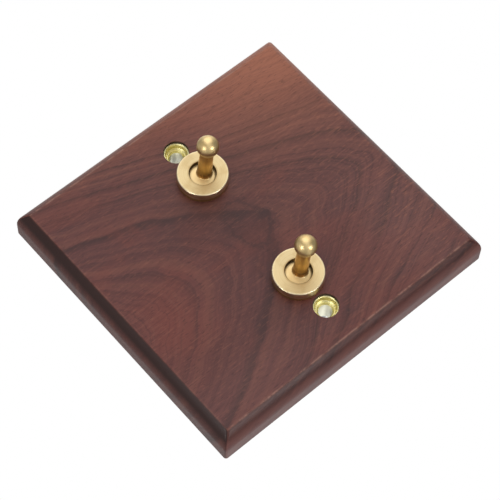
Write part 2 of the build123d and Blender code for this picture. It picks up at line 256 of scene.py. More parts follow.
class Palette(Nodes):
    """Builds one material from Object coordinates."""

    def __init__(self, name: str, metallic: float = 0.0) -> None:
        """Start a material with one principled shader.

        Args:
            name: The material's name.
            metallic: 1 for metal, 0 for anything else.
        """
        self.material = bpy.data.materials.new(name)
        self.material.use_nodes = True
        super().__init__(self.material.node_tree)
        self.shader = self.tree.nodes["Principled BSDF"].inputs
        self.shader["Metallic"].default_value = metallic
        self.place = self.add("TexCoord").outputs["Object"]

    def spot(self) -> tuple[Socket, Socket, Socket]:
        """Each point's X, Y and Z, in mm."""
        split = self.add("SeparateXYZ")
        self.feed(split.inputs[0], self.place)
        across, deep, along = (self.times(split.outputs[axis], 1 / MM) for axis in "XYZ")
        return across, deep, along

    def distance(self, axis: float) -> Socket:
        """Distance from the nearer of two axes along Y, left and right of the middle, in mm.

        Args:
            axis: Distance of both axes from the middle, in mm.

        Returns:
            The distance from the nearer axis.
        """
        across, _, along = self.spot()
        across = self.less(self.maths("ABSOLUTE", across), axis)
        return self.maths("SQRT", self.line(along, along, self.times(across, across)))

    def noise(self, kind: Noise, position: Socket | None = None) -> Socket:
        """Cloudy noise in space, or uneven bands along a line.

        Args:
            kind: The pattern.
            position: The place on the line, in mm, where bands are wanted.

        Returns:
            The noise value.
        """
        node = self.add("TexNoise")
        if position is None:
            mapping = self.add("Mapping")
            self.feed(mapping.inputs["Vector"], self.place)
            mapping.inputs["Scale"].default_value = [repeats / MM for repeats in kind.repeats]
            self.feed(node.inputs["Vector"], mapping.outputs["Vector"])
        else:
            node.noise_dimensions = "1D"
            self.feed(node.inputs["W"], self.times(position, kind.repeats[0]))
        node.inputs["Scale"].default_value = 1.0
        node.inputs["Detail"].default_value = kind.detail
        node.inputs["Roughness"].default_value = kind.rough
        node.inputs["Distortion"].default_value = kind.stir
        return node.outputs["Fac"]

    def stirred(self, value: Socket, kind: Noise, reach: Input) -> Socket:
        """Shift a value up and down by a pattern, by up to about a quarter of the reach."""
        return self.line(self.less(self.noise(kind), 0.5), reach, value)

    def mound(self, patch: Patch) -> Socket:
        """A soft mound that is 1 at a patch's middle and 0 far off."""
        mapping = self.add("Mapping")
        mapping.vector_type = "TEXTURE"
        self.feed(mapping.inputs["Vector"], self.place)
        mapping.inputs["Location"].default_value = (patch.across * MM, 0.0, patch.along * MM)
        mapping.inputs["Scale"].default_value = (patch.width * MM, 1.0, patch.length * MM)
        square = self.dot(mapping.outputs["Vector"], mapping.outputs["Vector"])
        return self.maths("EXPONENT", self.times(square, -1.0))

    def finish(self, colour: Input, rough: Input, relief: Socket, depth: float,
               strength: float) -> bpy.types.Material:
        """Join the colour, the roughness and the fine relief to the shader.

        Args:
            colour: The surface's colour.
            rough: Its roughness.
            relief: The pattern that raises it, from 0 to 1.
            depth: The relief's depth, in mm.
            strength: How strongly the relief bends the light.

        Returns:
            The finished material.
        """
        self.feed(self.shader["Base Color"], colour)
        self.feed(self.shader["Roughness"], rough)
        bump = self.add("Bump")
        self.feed(bump.inputs["Height"], relief)
        bump.inputs["Distance"].default_value = depth * MM
        bump.inputs["Strength"].default_value = strength
        self.feed(self.shader["Normal"], bump.outputs["Normal"])
        return self.material


class Wood(Enum):
    """The colours in the walnut, with the painted shade and painted highlight of its moulding."""

    DARK = srgb(58, 30, 30)
    HEART = srgb(88, 48, 46)
    PALE = srgb(113, 67, 57)
    RED = srgb(112, 55, 46)
    WARM = srgb(172, 106, 80)
    # The wood's rose tone, also used for the painted lighter band on the right moulding.
    ROSE = srgb(126, 86, 81)
    # Colour of the pores, also used for the painted shade in the fixing holes.
    PORE = srgb(40, 20, 19)
    # Painted highlight along the moulding's crease.
    CREASE_HIGHLIGHT = srgb(176, 134, 118)
    # Painted shade on the lower and the right moulding.
    SHADE_ON_MOULDING = srgb(46, 23, 20)


class Figure(Enum):
    """The patterns in the walnut. The rings are bands across the growth rings' place."""

    BROAD_RINGS = Noise((0.13,), 3.0, 0.6)
    FINE_RINGS = Noise((0.6,), 3.0, 0.7)
    FIBRE = Noise((1.5, 1.5, 0.09), 3.0, 0.65)
    CLOUD = Noise((0.06, 0.06, 0.03), 3.0, 0.55, 0.6)
    PORES = Noise((3.4, 3.4, 0.5), 1.0)
    FLECKS = Noise((2.6, 2.6, 0.45), 2.0, 0.6)


@dataclass(frozen=True)
class Layer:
    """A colour that follows one of the wood's patterns.

    Attributes:
        figure: The pattern.
        start: The pattern's value where the colour starts to show.
        full: Its value where the colour is strongest. One below the start follows the pattern's low parts.
        share: How strongly the colour shows there.
        colour: The colour.
        top_sheen: Whether it is stronger towards the board's top, as a painted sheen.
    """

    figure: Figure
    start: float
    full: float
    share: float
    colour: Wood
    top_sheen: bool = False


@dataclass(frozen=True)
class Vein:
    """One growth ring that stands out from the rest over part of the board.

    Attributes:
        level: Its place across the rings, in mm.
        breadth: Its half breadth across the rings, in mm.
        over: Where it shows, and how strongly.
    """

    level: float
    breadth: float
    over: Patch


@dataclass(frozen=True)
class EdgeFinish:
    """Painted shade and painted light on the moulding, and painted shade on the walls of the drilled fixing
    holes.

    The painted shade is on the lower and the right moulding, and deeper in the lower one's end grain. A
    painted lighter band lies on the right moulding's outer part, and a painted highlight runs along the
    crease, broken up by a noise pattern. Its spans say where each step starts and ends: front and moulding by
    height, near, fade, outer and pale by the distance past the crease, rubbed by the rub pattern. hole_soft
    is the breadth of the change outwards from the hole's wall and at its upper end. All lengths are in mm.
    """

    crease_x: float = 40.02
    crease_z: float = 42.02
    mitre: float = 0.15
    front: Span = (0.2, 0.9)
    moulding: Span = (3.4, 4.7)
    near: Span = (0.05, 0.25)
    fade: Span = (2.9, 1.6)
    side_shade: float = 0.52
    end_shade: float = 0.3
    outer: Span = (0.2, 0.8)
    outer_shade: float = 0.3
    pale: Span = (1.5, 2.6)
    pale_share: float = 0.5
    line: float = 0.24
    glint_noise: Noise = Noise((0.35, 0.35, 0.35), 3.0, 0.7)
    glint_spread: Span = (0.42, 0.6)
    glint_least: float = 0.12
    glint_more: float = 0.38
    end_glint_loss: float = 0.75
    hole_radius: float = 3.5
    hole_height: float = 9.9
    hole_soft: Span = (0.12, 0.08)
    hole_shade: float = 0.9

    def lay(self, paint: Palette, colour: Socket) -> Socket:
        """Lay painted shade on the moulding and in the holes, and a painted lighter band and highlight on the
        moulding.

        Args:
            paint: The material being made.
            colour: The wood's colour so far.

        Returns:
            The wood's colour with its edges.
        """
        across, deep, along = paint.spot()
        height = paint.times(deep, -1.0)
        side = paint.less(across, self.crease_x)
        end = paint.less(paint.times(along, -1.0), self.crease_z)
        crease_side = paint.less(paint.maths("ABSOLUTE", across), self.crease_x)
        crease_end = paint.less(paint.maths("ABSOLUTE", along), self.crease_z)
        end_grain = paint.between(paint.less(crease_end, crease_side), -self.mitre, self.mitre)
        past = paint.slide(end_grain, side, end)
        front = paint.between(height, *self.front)
        moulding = paint.between(height, *self.moulding)
        # Painted shade: the lower and the right moulding just past the crease, deeper on the lower end grain,
        # and the lower end's outer part.
        near = paint.times(paint.between(past, *self.near), paint.between(past, *self.fade))
        outer = paint.times(paint.between(past, *self.outer, self.outer_shade), paint.times(end_grain, front))
        shade_share = paint.line(end_grain, self.end_shade, self.side_shade)
        shade_share = paint.line(paint.times(near, moulding), shade_share, outer)
        colour = paint.mix(shade_share, colour, Wood.SHADE_ON_MOULDING.value)
        # Painted light: a lighter rose band on the right moulding's outer part.
        side_grain = paint.line(end_grain, -1.0, 1.0)
        pale = paint.times(paint.between(past, *self.pale, self.pale_share), side_grain)
        colour = paint.mix(paint.times(pale, front), colour, Wood.ROSE.value)
        # Painted highlight along the crease, broken up by a noise pattern and fainter on the lower end.
        line = paint.hump(paint.maths("MAXIMUM", crease_side, crease_end), self.line)
        glint = paint.between(paint.noise(self.glint_noise), *self.glint_spread, self.glint_more)
        glint = paint.maths("ADD", glint, self.glint_least)
        glint = paint.times(glint, paint.line(end_grain, -self.end_glint_loss, 1.0))
        colour = paint.mix(paint.times(line, paint.times(glint, moulding)), colour, Wood.CREASE_HIGHLIGHT.value)
        # Painted shade on the walls of the fixing holes, below the face.
        outwards, upwards = self.hole_soft
        rim = paint.between(paint.distance(FIXING_X), self.hole_radius + outwards, self.hole_radius)
        below = paint.between(height, self.hole_height + upwards, self.hole_height - upwards)
        return paint.mix(paint.times(rim, paint.times(below, self.hole_shade)), colour, Wood.PORE.value)


@dataclass(frozen=True)
class Walnut:
    """Oiled walnut, sawn flat, so the growth rings show as arches that are pointed above and round below.

    The arches fall away from their middle by a slope that grows by a bow per mm, the left one becoming
    the right one over the stretch turn. Their tips are sharp above and blunt below, over the stretch
    tips. dip is how far the rings run on per mm of depth. wander bends the arches' middle line, ripple
    the rings, and swirl stirs them round the knot. The layers and tints are laid in the order under,
    tints, rings, veins, eye and over, and the layers marked lively grow stronger towards the board's top
    as a painted sheen. All lengths are in mm.
    """

    roughness: float = 0.42
    shine: float = 0.3
    middle: float = 3.0
    slope: float = 0.9
    bow_left: float = 0.045
    bow_right: float = 0.024
    turn: Span = (-14.0, 12.0)
    sharp: float = 1.5
    blunt: float = 6.0
    tips: Span = (22.0, -26.0)
    dip: float = 0.8
    wander: Noise = Noise((0.05, 0.03, 0.03), 2.0)
    wander_reach: float = 7.0
    ripple: Noise = Noise((0.22, 0.1, 0.09), 3.0, 0.6)
    ripple_reach: float = 5.0
    swirl: Noise = Noise((0.13, 0.1, 0.17), 3.0, 0.6)
    knot: Patch = Patch(-0.5, 3.0, 8.5, 7.5, 18.0)
    under: tuple = (
        Layer(Figure.BROAD_RINGS, 0.34, 0.5, 1.0, Wood.HEART),
        Layer(Figure.BROAD_RINGS, 0.48, 0.68, 0.8, Wood.PALE),
        Layer(Figure.CLOUD, 0.44, 0.62, 0.45, Wood.RED),
    )
    tints: tuple = (
        # Warm tone at the top-left corner, partly the wood's own and partly a painted sheen from the overhead
        # lamp.
        (Wood.WARM, Patch(-46.0, 46.0, 27.0, 36.0, 1.0)),
        (Wood.WARM, Patch(-45.0, 0.0, 6.0, 30.0, 0.45)),
        (Wood.RED, Patch(8.0, -33.0, 13.0, 11.0, 0.85)),
        (Wood.ROSE, Patch(36.0, -28.0, 13.0, 22.0, 0.25)),
        (Wood.ROSE, Patch(24.0, 34.0, 24.0, 14.0, 0.35)),
        (Wood.DARK, Patch(-3.0, 2.0, 11.0, 10.0, 0.4)),
        (Wood.DARK, Patch(-11.0, -12.0, 8.0, 8.0, 0.4)),
        (Wood.DARK, Patch(22.0, -12.0, 6.0, 9.0, 0.35)),
        (Wood.DARK, Patch(24.0, -30.0, 6.0, 9.0, 0.3)),
    )
    rings: tuple = (
        Layer(Figure.FINE_RINGS, 0.52, 0.7, 0.28, Wood.DARK),
        Layer(Figure.FINE_RINGS, 0.46, 0.3, 0.3, Wood.PALE),
    )
    veins: tuple = (
        Vein(9.0, 0.9, Patch(20.0, -13.0, 9.0, 15.0, 0.75)),
        Vein(-26.0, 0.6, Patch(4.0, -28.0, 12.0, 8.0, 0.45)),
        Vein(-31.5, 0.8, Patch(4.0, -34.0, 13.0, 8.0, 0.55)),
        Vein(-36.0, 0.6, Patch(4.0, -40.0, 13.0, 8.0, 0.45)),
        Vein(27.0, 0.8, Patch(4.0, 22.0, 12.0, 10.0, 0.4)),
        Vein(22.5, 0.7, Patch(4.0, 18.0, 10.0, 9.0, 0.3)),
        Vein(33.0, 0.9, Patch(4.0, 26.0, 14.0, 12.0, 0.3)),
    )
    eye: Patch = Patch(-1.0, 0.5, 7.5, 5.0)
    eye_wave: Noise = Noise((0.3, 0.3, 0.3), 3.0, 0.6)
    eye_waviness: float = 0.7
    eye_ring: Vein = Vein(0.72, 0.09, Patch(-1.0, 0.5, 12.75, 8.5, 0.77))
    # Painted sheen towards the board's top, where the layers marked lively grow stronger.
    top_sheen: Patch = Patch(10.0, 46.0, 50.0, 24.0, 1.6)
    over: tuple = (
        Layer(Figure.FIBRE, 0.5, 0.66, 0.2, Wood.DARK),
        Layer(Figure.FIBRE, 0.46, 0.3, 0.12, Wood.WARM, True),
        Layer(Figure.FLECKS, 0.56, 0.68, 0.14, Wood.WARM, True),
        Layer(Figure.PORES, 0.6, 0.7, 0.4, Wood.PORE),
    )
    edges: EdgeFinish = EdgeFinish()

    def ring_place(self, paint: Palette) -> Socket:
        """Place across the growth rings, in mm, whose level lines are the nested arches.

        Args:
            paint: The material being made.

        Returns:
            The place across the rings.
        """
        across, deep, along = paint.spot()
        across = paint.stirred(paint.less(across, self.middle), self.wander, self.wander_reach)
        tip = paint.line(paint.between(along, *self.tips), self.blunt - self.sharp, self.sharp)
        reach = paint.maths("SQRT", paint.line(across, across, paint.times(tip, tip)))
        reach = paint.less(reach, tip)
        bow = paint.line(paint.between(across, *self.turn), self.bow_right - self.bow_left, self.bow_left)
        fall = paint.line(reach, bow, self.slope)
        place = paint.line(reach, fall, paint.line(deep, self.dip, along))
        place = paint.stirred(place, self.ripple, self.ripple_reach)
        return paint.stirred(place, self.swirl, paint.times(paint.mound(self.knot), self.knot.push))

    def vein(self, paint: Palette, colour: Socket, place: Socket, vein: Vein) -> Socket:
        """Draw one dark vein.

        Args:
            paint: The material being made.
            colour: The wood's colour so far.
            place: The value that the vein is a level of.
            vein: The vein.

        Returns:
            The wood's colour with the vein.
        """
        line = paint.hump(paint.less(place, vein.level), vein.breadth)
        share = paint.times(line, paint.times(paint.mound(vein.over), vein.over.push))
        return paint.mix(share, colour, Wood.DARK.value)

    def material(self) -> bpy.types.Material:
        """Build the wood's material."""
        paint = Palette("walnut")
        place = self.ring_place(paint)
        patterns = {
            figure: paint.noise(figure.value, place if len(figure.value.repeats) == 1 else None)
            for figure in Figure
        }
        top_sheen = paint.line(paint.mound(self.top_sheen), self.top_sheen.push, 1.0)

        def lay(colour: Input, layers: tuple) -> Socket:
            """Lay layers over a colour, in order."""
            for layer in layers:
                share = paint.between(patterns[layer.figure], layer.start, layer.full, layer.share)
                share = paint.times(share, top_sheen) if layer.top_sheen else share
                colour = paint.mix(share, colour, layer.colour.value)
            return colour

        colour = lay(Wood.DARK.value, self.under)
        for shade, patch in self.tints:
            colour = paint.mix(paint.times(paint.mound(patch), patch.push), colour, shade.value)
        colour = lay(colour, self.rings)
        for vein in self.veins:
            colour = self.vein(paint, colour, place, vein)
        eye = paint.line(paint.noise(self.eye_wave), self.eye_waviness, paint.mound(self.eye))
        colour = lay(self.vein(paint, colour, eye, self.eye_ring), self.over)
        colour = self.edges.lay(paint, colour)
        fibre = patterns[Figure.FIBRE]
        grain = paint.line(paint.between(patterns[Figure.PORES], 0.68, 0.58), 0.7, paint.times(fibre, 0.3))
        paint.shader["Specular IOR Level"].default_value = self.shine
        return paint.finish(colour, paint.line(fibre, 0.2, self.roughness - 0.1), grain, 0.02, 0.4)


@dataclass(frozen=True)
class Metal:
    """A metal with fine marks left by turning, plating or stamping.

    Attributes:
        name: The material's name.
        colour: Its colour.
        tarnish: The darker colour of its dull patches.
        roughness: Its mean roughness.
        marks: Repeats of the fine marks per millimetre along X, Y and Z.
        depth: Depth of the marks, in mm.
    """

    name: str
    colour: tuple
    tarnish: tuple
    roughness: float
    marks: tuple = (3.0, 3.0, 3.0)
    depth: float = 0.004

    def material(self) -> bpy.types.Material:
        """Build the metal's material."""
        paint = Palette(self.name, 1.0)
        marks = paint.noise(Noise(self.marks, 3.0, 0.6))
        cloud = paint.noise(Noise((0.25, 0.25, 0.25), 3.0))
        colour = paint.mix(paint.between(cloud, 0.42, 0.7, 0.6), self.colour, self.tarnish)
        return paint.finish(colour, paint.line(marks, 0.14, self.roughness - 0.07), marks, self.depth, 0.4)


@dataclass(frozen=True)
class Zone:
    """A part of a turned piece that looks different from the rest.

    Attributes:
        low: Height above the wall where it starts, in mm.
        high: Height where it ends, in mm.
        colour: Its colour.
        roughness: Its roughness.
        share: How strongly it takes that colour and roughness.
        inner: Distance from the axis where it starts, in mm.
        outer: Distance from the axis where it ends, in mm.
    """

    low: float
    high: float
    colour: tuple
    roughness: float
    share: float = 1.0
    inner: float = -1.0
    outer: float = 99.0


@dataclass(frozen=True)
class TurnedBrass:
    """Brass turned on a lathe, with fine rings round each piece's own axis.

    The two switches stand at equal distances left and right of the middle, so one pattern that
    is folded at the middle serves both sides.

    Attributes:
        name: The material's name.
        colour: Its colour.
        tarnish: The darker colour in its rings and dull places.
        roughness: Its mean roughness.
        axis: Distance of the pieces' axis from the middle, in mm.
        rings: Repeats of the rings per millimetre out from the axis.
        bands: Repeats of the bands per millimetre along the axis.
        depth: Depth of the rings, in mm.
        soft_up: Half breadth of a zone's lower and upper end, in mm.
        soft_out: Half breadth of a zone's inner and outer end, in mm.
        zones: Stretches with their own colour and roughness. Some are polished or tarnished by use; others
            carry painted shade, painted highlights and painted reflections.
    """

    name: str
    colour: tuple
    tarnish: tuple
    roughness: float
    axis: float
    rings: float = 1.9
    bands: float = 3.2
    depth: float = 0.008
    soft_up: float = 0.4
    soft_out: float = 0.2
    zones: tuple = ()

    def material(self) -> bpy.types.Material:
        """Build the brass."""
        paint = Palette(self.name, 1.0)
        _, deep, _ = paint.spot()
        height = paint.times(deep, -1.0)
        distance = paint.distance(self.axis)
        rings = paint.noise(Noise((self.rings,), 4.0, 0.7), distance)
        bands = paint.noise(Noise((self.bands,), 3.0, 0.6), deep)
        marks = paint.line(rings, 0.7, paint.times(bands, 0.3))
        cloud = paint.noise(Noise((0.3, 0.3, 0.3), 3.0))
        colour = self.colour
        rough = self.roughness
        for zone in self.zones:
            stretch = paint.window(height, zone.low, zone.high, self.soft_up)
            around = paint.window(distance, zone.inner, zone.outer, self.soft_out)
            share = paint.times(paint.times(stretch, around), zone.share)
            colour = paint.mix(share, colour, zone.colour)
            rough = paint.slide(share, rough, zone.roughness)
        colour = paint.mix(paint.between(cloud, 0.45, 0.68, 0.4), colour, self.tarnish)
        colour = paint.mix(paint.between(marks, 0.5, 0.62, 0.5), colour, self.tarnish)
        return paint.finish(colour, paint.line(paint.less(marks, 0.5), 0.2, rough), marks, self.depth, 0.6)


@dataclass(frozen=True)
class Plastic:
    """A moulded plastic with a faint orange-peel surface.

    Attributes:
        name: The material's name.
        colour: Its colour.
        flow: The colour of its faint flow marks.
        roughness: Its mean roughness.
    """

    name: str
    colour: tuple
    flow: tuple
    roughness: float

    def material(self) -> bpy.types.Material:
        """Build the plastic's material."""
        paint = Palette(self.name)
        peel = paint.noise(Noise((2.2, 2.2, 2.2), 2.0))
        cloud = paint.noise(Noise((0.12, 0.12, 0.05), 2.0))
        colour = paint.mix(paint.between(cloud, 0.4, 0.7), self.colour, self.flow)
        return paint.finish(colour, paint.line(peel, 0.2, self.roughness - 0.1), peel, 0.01, 0.35)


COLLAR_BRASS = TurnedBrass(
    "satin_brass", srgb(207, 187, 144), srgb(180, 152, 102), 0.49, TOGGLE_X, depth=0.011,
    zones=(
        # Painted shade and a painted reflection of the dark wood on the nut's side wall.
        Zone(8.0, 12.9, srgb(182, 148, 92), 0.4, 0.9, inner=6.2),
        # Painted shade inside the nut's opening.
        Zone(8.0, 13.3, srgb(66, 46, 26), 0.6, 0.95, outer=3.8),
        # Painted highlight on the rounded top edge, which is also smoother.
        Zone(11.0, 15.0, srgb(252, 236, 200), 0.3, 0.9, inner=6.75),
    ),
)
LEVER_BRASS = TurnedBrass(
    "lever_brass", srgb(222, 196, 146), srgb(196, 162, 104), 0.46, TOGGLE_X,
    zones=(
        # Painted shade on the dome's outer part, under the nut's lip.
        Zone(11.0, 12.9, srgb(70, 50, 28), 0.6, 0.75, inner=3.4),
        # The stem's amber tint: partly tarnish, partly a painted reflection of the wood.
        Zone(12.9, 22.4, srgb(228, 182, 106), 0.34),
        # Painted shade at the stem's root, where it meets the dome.
        Zone(13.0, 14.6, srgb(150, 102, 54), 0.5, 0.8, outer=2.5),
        Zone(22.4, 40.0, srgb(222, 196, 142), 0.37),
    ),
)
SLEEVE_BRASS = TurnedBrass(
    "ferrule_brass", srgb(250, 243, 190), srgb(226, 212, 128), 0.5, FIXING_X, 2.6, depth=0.016,
)
# A much paler copy of the ferrule brass for the bore: a painted reflection of the white surroundings.
BORE_PAINTED_REFLECTION = TurnedBrass(
    "bore_painted_reflection", srgb(255, 253, 232), srgb(250, 246, 214), 0.3, FIXING_X, 2.6, depth=0.003,
)
CONTACT_BRASS = Metal("contact_brass", srgb(214, 172, 96), srgb(188, 138, 70), 0.36, (4.0, 4.0, 0.4))
ZINC_STEEL = Metal("zinc_steel", srgb(188, 190, 190), srgb(150, 150, 146), 0.38, (0.4, 0.4, 3.0))
BRIGHT_STEEL = Metal("bright_steel", srgb(200, 200, 202), srgb(170, 172, 176), 0.22, (6.0, 6.0, 6.0), 0.002)
PHENOLIC = Plastic("black_phenolic", srgb(30, 27, 26), srgb(44, 38, 35), 0.42)
NYLON = Plastic("white_nylon", srgb(226, 224, 214), srgb(236, 234, 226), 0.4)


class Profile:
    """Half outline of a turned piece, from point to point and arc to arc."""

    def __init__(self, radius: float, height: float) -> None:
        """Start at a radius and a height, in mm."""
        self.points = [(radius, height)]

    def to(self, *points: Span) -> "Profile":
        """Go straight from point to point, each a radius and a height in mm."""
        self.points += points
        return self

    def ball(self, centre: float, radius: float, start: float, end: float, steps: int) -> "Profile":
        """Follow a ball centred on the axis.

        Args:
            centre: Height of the ball's centre, in mm.
            radius: The ball's radius, in mm.
            start: Angle of the first point above the ball's equator, in radians.
            end: Angle of the last point above the ball's equator, in radians.
            steps: Number of steps along the arc.

        Returns:
            The profile itself.
        """
        for step in range(steps + 1):
            angle = start + (end - start) * step / steps
            self.points.append((abs(radius * math.cos(angle)), centre + radius * math.sin(angle)))
        return self


class Workpiece:
    """One piece on the bench: a mesh that grows by operators and is then dressed."""

    def __init__(self, name: str) -> None:
        """Start an empty piece with a name."""
        self.name = name
        self.mesh = bmesh.new()

    def turn(self, profile: Profile, steps: int, closed: bool = False) -> None:
        """Spin a half outline round the height axis.

        Args:
            profile: The half outline.
            steps: Number of steps round the axis.
            closed: Whether the outline runs back to its first point.
        """
        verts = [self.mesh.verts.new((radius * MM, -height * MM, 0.0)) for radius, height in profile.points]
        pairs = list(zip(verts, verts[1:]))
        if closed:
            pairs.append((verts[-1], verts[0]))
        edges = [self.mesh.edges.new(pair) for pair in pairs]
        bmesh.ops.spin(
            self.mesh, geom=verts + edges, cent=(0, 0, 0), axis=(0, 1, 0), dvec=(0, 0, 0),
            angle=2 * math.pi, steps=steps, use_merge=True, use_duplicate=False,
        )
        self.weld()

    def weld(self) -> None:
        """Join vertices that lie on each other."""
        bmesh.ops.remove_doubles(self.mesh, verts=self.mesh.verts, dist=WELD_GAP)

    def bevel(self, parts: list, size: float, segments: int, affect: str = "EDGES") -> dict:
        """Round edges or corners.

        Args:
            parts: The edges or vertices.
            size: Size of the rounding, in mm.
            segments: Number of steps across it.
            affect: EDGES or VERTICES.

        Returns:
            What the operator made.
        """
        return bmesh.ops.bevel(
            self.mesh, geom=parts, offset=size * MM, offset_type="OFFSET", segments=segments, profile=0.5,
            affect=affect, clamp_overlap=True, material=-1,
        )

    def soften(self, radius: float, height: float, size: float, segments: int) -> None:
        """Round the ring at a radius and a height.

        Args:
            radius: The ring's radius, in mm.
            height: The ring's height, in mm.
            size: Size of the rounding, in mm.
            segments: Number of steps across the rounding.
        """
        near = 0.02 * MM

        def on_ring(vert: bmesh.types.BMVert) -> bool:
            """Say whether a vertex lies on the ring."""
            reach = math.hypot(vert.co.x, vert.co.z)
            return abs(reach - radius * MM) < near and abs(vert.co.y + height * MM) < near

        self.bevel([edge for edge in self.mesh.edges if all(map(on_ring, edge.verts))], size, segments)

    def ring(self, across: float, height: float, radius: float, steps: int) -> list:
        """Add an open ring.

        Args:
            across: Its centre along X, in mm.
            height: Its height, in mm.
            radius: Its radius, in mm.
            steps: Number of steps round it.

        Returns:
            The ring's edges.
        """
        place = Matrix.Translation(Vector((across, -height, 0)) * MM) @ Matrix.Rotation(math.pi / 2, 4, "X")
        made = bmesh.ops.create_circle(
            self.mesh, cap_ends=False, segments=steps, radius=radius * MM, matrix=place,
        )
        return list({edge for vert in made["verts"] for edge in vert.link_edges})

    def sink(self, edges: list, across: float, depth: float, share: float = 1.0) -> list:
        """Extrude an open ring along the height axis.

        Args:
            edges: The ring's edges.
            across: The ring's centre along X, in mm.
            depth: How far it goes towards the wall, in mm.
            share: Its new size as a share of the old one.

        Returns:
            The new ring's edges.
        """
        made = bmesh.ops.extrude_edge_only(self.mesh, edges=edges)["geom"]
        verts = {item for item in made if isinstance(item, bmesh.types.BMVert)}
        edges = [item for item in made if isinstance(item, bmesh.types.BMEdge)]
        centre = Matrix.Translation((-across * MM, 0, 0))
        bmesh.ops.scale(self.mesh, verts=list(verts), vec=(share, 1, share), space=centre)
        bmesh.ops.translate(self.mesh, verts=list(verts), vec=(0, depth * MM, 0))
        return [edge for edge in edges if verts.issuperset(edge.verts)]

    def hole(self, across: float, stops: list, steps: int) -> tuple[list, list]:
        """Add the wall of a stepped hole.

        Args:
            across: The hole's centre along X, in mm.
            stops: Radius and height of each ring from the front to the back, in mm.
            steps: Number of steps round the hole.

        Returns:
            The first ring's edges and the last ring's edges.
        """
        mouth = self.ring(across, stops[0][1], stops[0][0], steps)
        edges = mouth
        for (radius, height), (next_radius, next_height) in zip(stops, stops[1:]):
            edges = self.sink(edges, across, height - next_height, next_radius / radius)
        return mouth, edges

    def fill(self, edges: list) -> None:
        """Close a flat face that has holes in it."""
        bmesh.ops.triangle_fill(
            self.mesh, use_beauty=True, use_dissolve=False, edges=edges, normal=(0, 1, 0),
        )

    def lean(self, degrees: float) -> None:
        """Tip the piece up about the X axis, by a number of degrees."""
        turn = Matrix.Rotation(-math.radians(degrees), 3, "X")
        bmesh.ops.rotate(self.mesh, verts=self.mesh.verts, cent=(0, 0, 0), matrix=turn)

    def move(self, across: float, height: float = 0.0) -> None:
        """Shift the piece along X and away from the wall, in mm."""
        bmesh.ops.translate(self.mesh, verts=self.mesh.verts, vec=Vector((across, -height, 0.0)) * MM)

    def finish(self, material: bpy.types.Material, shading: Shading) -> bpy.types.Object:
        """Close the mesh, shade it and give it its material.

        Args:
            material: The piece's material.
            shading: The angle past which an edge stays sharp.

        Returns:
            The finished object.
        """
        bmesh.ops.recalc_face_normals(self.mesh, faces=self.mesh.faces)
        data = bpy.data.meshes.new(self.name)
        self.mesh.to_mesh(data)
        self.mesh.free()
        data.shade_smooth()
        data.set_sharp_from_angle(angle=shading.value)
        data.materials.append(material)
        piece = place_in_scene(self.name, data)
        piece.modifiers.new("weighted", "WEIGHTED_NORMAL").keep_sharp = True
        return piece


